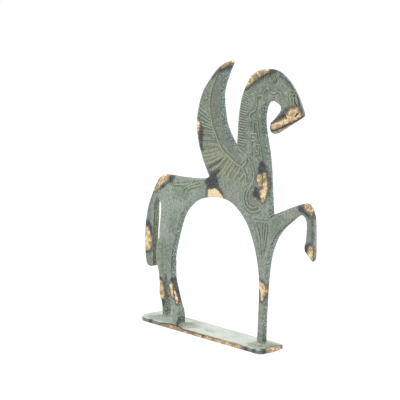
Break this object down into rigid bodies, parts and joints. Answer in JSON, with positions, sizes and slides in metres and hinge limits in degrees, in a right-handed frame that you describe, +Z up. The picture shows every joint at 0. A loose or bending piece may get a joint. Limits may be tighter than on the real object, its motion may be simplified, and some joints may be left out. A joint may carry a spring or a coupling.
{
  "type": "bronze pegasus statuette",
  "caption": "Flat-cast winged horse in the geometric style, one foreleg raised, brazed by its feet to a narrow strip base.",
  "frame": {"origin": "centre of the base plate's underside", "axes": "+X along the base towards the horse's muzzle, +Y across the thin casting towards the horse's left side, +Z up"},
  "size_m": [0.1341, 0.019, 0.1557],
  "materials": {
    "casting_bronze": "dull grey-green verdigris over cast bronze, rubbed to pale bare metal with dark halos on high spots",
    "base_bronze": "pale grey-green wiped patina on top, bare bronze along the lower long edge"
  },
  "bodies": {
    "root": {"base_plate": "base_bronze", "pegasus": "casting_bronze"}
  },
  "joints": []
}
